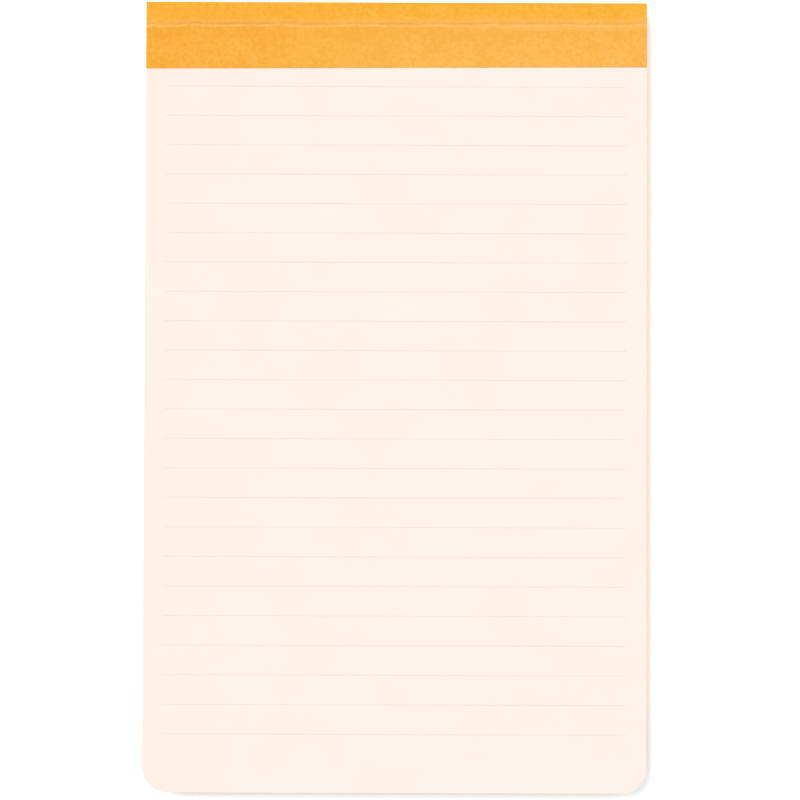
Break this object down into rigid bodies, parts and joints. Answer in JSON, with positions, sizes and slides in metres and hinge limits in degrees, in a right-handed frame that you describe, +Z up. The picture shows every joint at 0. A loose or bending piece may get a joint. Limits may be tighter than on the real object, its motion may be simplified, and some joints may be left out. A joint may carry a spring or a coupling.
{
  "type": "top-bound hardcover notepad",
  "caption": "Hardcover pad of ruled paper, bound along its top edge with an orange paper strip; the front cover is on two folds and lies folded round behind the pad.",
  "frame": {"origin": "middle of the footprint, on the surface that the pad lies on", "axes": "+Y runs up the page towards the bound edge, +Z up out of the first page, X across the sheets"},
  "size_m": [0.1194, 0.188, 0.0125],
  "materials": {
    "page_paper": "smooth uncoated writing paper, warm white",
    "ruling_ink": "very pale warm grey printing ink on paper",
    "orange_paper": "matt orange paper with a faint mottle",
    "orange_covering": "orange covering paper with a fine embossed grain",
    "greyboard": "dense grey binder's board",
    "binding_glue": "dried cream-coloured binding glue",
    "binding_gauze": "open-weave white cotton gauze"
  },
  "bodies": {
    "pad": {"page_block": "page_paper", "page_ruling": "ruling_ink", "binding_strip": "orange_paper", "spine_glue": "binding_glue", "spine_gauze": "binding_gauze", "spine_board": "greyboard", "back_board": "greyboard", "back_cover_wrap": "orange_covering", "back_lining": "orange_paper"},
    "hinge_panel": {"panel_board": "greyboard", "panel_wrap": "orange_covering", "panel_lining": "orange_paper"},
    "front_cover": {"front_board": "greyboard", "front_cover_wrap": "orange_covering", "front_lining": "orange_paper"}
  },
  "joints": [
    {"name": "upper_fold", "type": "hinge", "parent": "pad", "child": "hinge_panel", "pos_m": [0, 0.094, 0.01265], "axis": [1, 0, 0], "range_deg": [0, 270]},
    {"name": "lower_fold", "type": "hinge", "parent": "hinge_panel", "child": "front_cover", "pos_m": [0, 0.094, 0], "axis": [1, 0, 0], "range_deg": [0, 90]}
  ]
}
